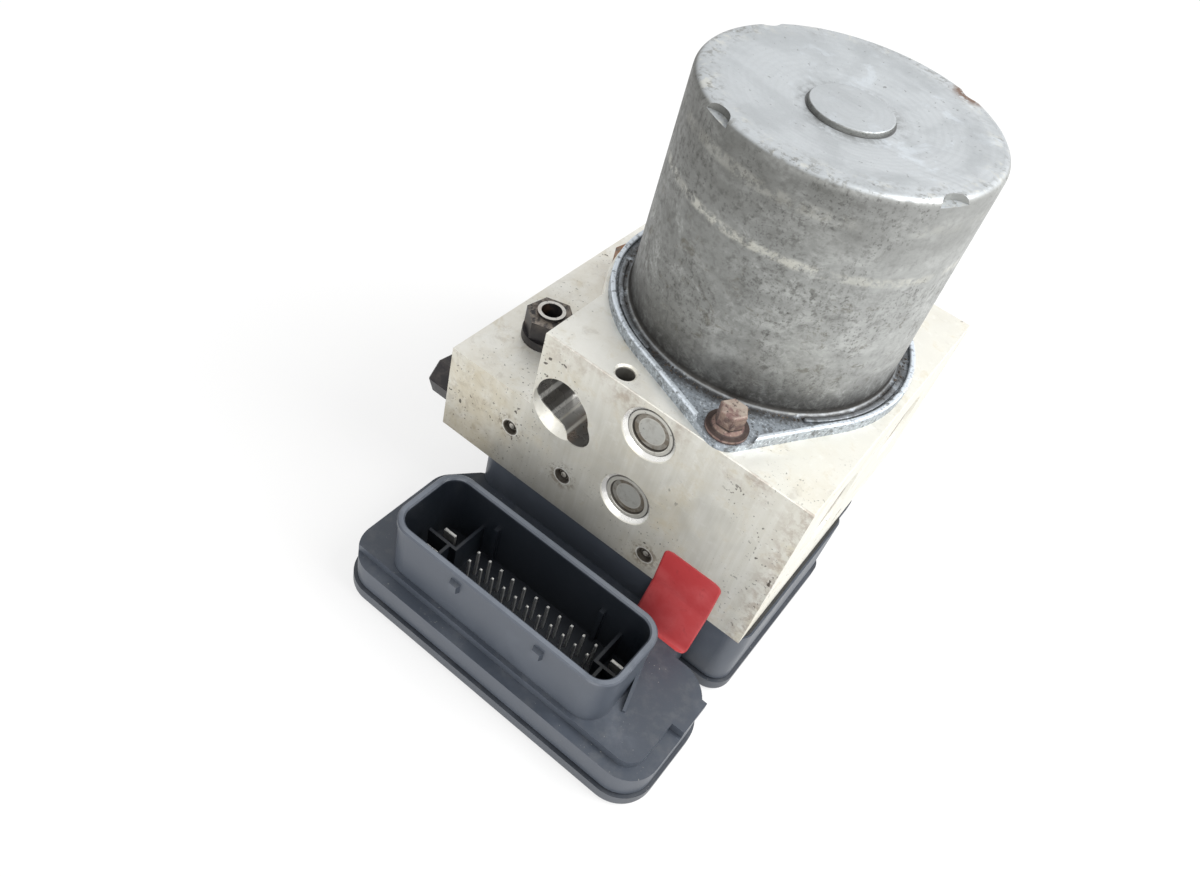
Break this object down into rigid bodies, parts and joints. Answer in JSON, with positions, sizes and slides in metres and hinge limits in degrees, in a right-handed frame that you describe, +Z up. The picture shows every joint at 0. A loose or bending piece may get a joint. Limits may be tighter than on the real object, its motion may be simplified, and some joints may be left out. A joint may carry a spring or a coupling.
{
  "type": "abs brake module",
  "caption": "Anti-lock brake module: round pump motor on a stepped valve block with fluid ports, above a flat control unit with an upright connector.",
  "frame": {"origin": "on the motor axis, at the underside of the control unit's cover", "axes": "+Z up along the motor axis, +X to the module's right, +Y to the rear; the connector is at -Y"},
  "size_m": [0.1162, 0.143, 0.1427],
  "materials": {
    "cast_block": "machined aluminium with yellow-brown stains",
    "zinc_can": "dull zinc plating, mottled and speckled",
    "rusty_steel": "rusted steel",
    "bare_steel": "turned steel",
    "bearing_steel": "ground bearing steel",
    "spring_steel": "drawn wire",
    "nut_steel": "dark oiled steel with rust",
    "plug_metal": "drawn metal, dulled",
    "bronze": "sintered bronze",
    "brass_contact": "brass",
    "copper": "copper",
    "ferrite": "ferrite",
    "lamination": "stacked steel sheet",
    "carbon": "pressed carbon",
    "inner_plastic": "moulded plastic",
    "black_plastic": "moulded black plastic, dusty",
    "rubber": "soft rubber",
    "board": "lacquered board",
    "chip": "moulded packages",
    "tinned_contact": "tinned",
    "coil_can": "coated coil case"
  },
  "bodies": {
    "module": {"hydraulic_block": "cast_block", "motor_can": "zinc_can", "motor_shield": "bare_steel", "bearing_outer": "bearing_steel", "upper_bushing": "bronze", "pilot_bushing": "bronze", "motor_magnets": "ferrite", "brush_holder": "inner_plastic", "motor_brushes": "carbon", "motor_lead": "inner_plastic", "motor_lead_pins": "brass_contact", "motor_screws": "rusty_steel", "pump_sleeve_front": "bare_steel", "pump_sleeve_rear": "bare_steel", "pump_spring_front": "spring_steel", "pump_spring_rear": "spring_steel", "pump_plug_front": "plug_metal", "pump_plug_rear": "plug_metal", "damper_insert_front": "rubber", "damper_insert_rear": "rubber", "damper_plug_front": "plug_metal", "damper_plug_rear": "plug_metal", "store_spring_front": "spring_steel", "store_spring_rear": "spring_steel", "store_caps": "plug_metal", "inlet_valve_bodies": "bare_steel", "outlet_valve_bodies": "bare_steel", "valve_coils": "coil_can", "ecu_housing": "black_plastic", "ecu_cover": "black_plastic", "ecu_seal": "rubber", "circuit_board": "board", "board_components": "chip", "signal_pins": "tinned_contact", "power_blades": "tinned_contact", "ecu_screws": "bare_steel", "ball_plugs": "bearing_steel", "shelf_tube_nuts": "nut_steel", "side_tube_nut": "nut_steel"},
    "rotor": {"rotor_shaft": "bare_steel", "eccentric_needles": "bearing_steel", "eccentric_race": "bearing_steel", "armature_core": "lamination", "armature_windings": "copper", "commutator": "copper", "bearing_inner": "bearing_steel", "bearing_balls": "bearing_steel"},
    "pump_piston_front": {"pump_piston_front": "bare_steel"},
    "pump_piston_rear": {"pump_piston_rear": "bare_steel"},
    "store_piston_front": {"store_piston_front": "plug_metal"},
    "store_piston_rear": {"store_piston_rear": "plug_metal"},
    "inlet_plunger_1": {"inlet_plunger_1": "bare_steel"},
    "inlet_plunger_2": {"inlet_plunger_2": "bare_steel"},
    "inlet_plunger_3": {"inlet_plunger_3": "bare_steel"},
    "inlet_plunger_4": {"inlet_plunger_4": "bare_steel"},
    "outlet_plunger_1": {"outlet_plunger_1": "bare_steel"},
    "outlet_plunger_2": {"outlet_plunger_2": "bare_steel"},
    "outlet_plunger_3": {"outlet_plunger_3": "bare_steel"},
    "outlet_plunger_4": {"outlet_plunger_4": "bare_steel"}
  },
  "joints": [
    {"name": "rotor_spin", "type": "hinge", "parent": "module", "child": "rotor", "pos_m": [0, 0, 0.0805], "axis": [0, 0, 1], "continuous": true},
    {"name": "pump_stroke_front", "type": "slide", "parent": "module", "child": "pump_piston_front", "axis": [0, -1, 0], "range_m": [0, 0.0016], "deforming": ["pump_spring_front"]},
    {"name": "pump_stroke_rear", "type": "slide", "parent": "module", "child": "pump_piston_rear", "axis": [0, 1, 0], "range_m": [0, 0.0016], "deforming": ["pump_spring_rear"]},
    {"name": "store_stroke_front", "type": "slide", "parent": "module", "child": "store_piston_front", "axis": [1, 0, 0], "range_m": [0, 0.0055], "deforming": ["store_spring_front"]},
    {"name": "store_stroke_rear", "type": "slide", "parent": "module", "child": "store_piston_rear", "axis": [1, 0, 0], "range_m": [0, 0.0055], "deforming": ["store_spring_rear"]},
    {"name": "inlet_valve_1", "type": "slide", "parent": "module", "child": "inlet_plunger_1", "axis": [0, 0, 1], "range_m": [0, 0.0004]},
    {"name": "inlet_valve_2", "type": "slide", "parent": "module", "child": "inlet_plunger_2", "axis": [0, 0, 1], "range_m": [0, 0.0004]},
    {"name": "inlet_valve_3", "type": "slide", "parent": "module", "child": "inlet_plunger_3", "axis": [0, 0, 1], "range_m": [0, 0.0004]},
    {"name": "inlet_valve_4", "type": "slide", "parent": "module", "child": "inlet_plunger_4", "axis": [0, 0, 1], "range_m": [0, 0.0004]},
    {"name": "outlet_valve_1", "type": "slide", "parent": "module", "child": "outlet_plunger_1", "axis": [0, 0, -1], "range_m": [0, 0.0004]},
    {"name": "outlet_valve_2", "type": "slide", "parent": "module", "child": "outlet_plunger_2", "axis": [0, 0, -1], "range_m": [0, 0.0004]},
    {"name": "outlet_valve_3", "type": "slide", "parent": "module", "child": "outlet_plunger_3", "axis": [0, 0, -1], "range_m": [0, 0.0004]},
    {"name": "outlet_valve_4", "type": "slide", "parent": "module", "child": "outlet_plunger_4", "axis": [0, 0, -1], "range_m": [0, 0.0004]}
  ]
}
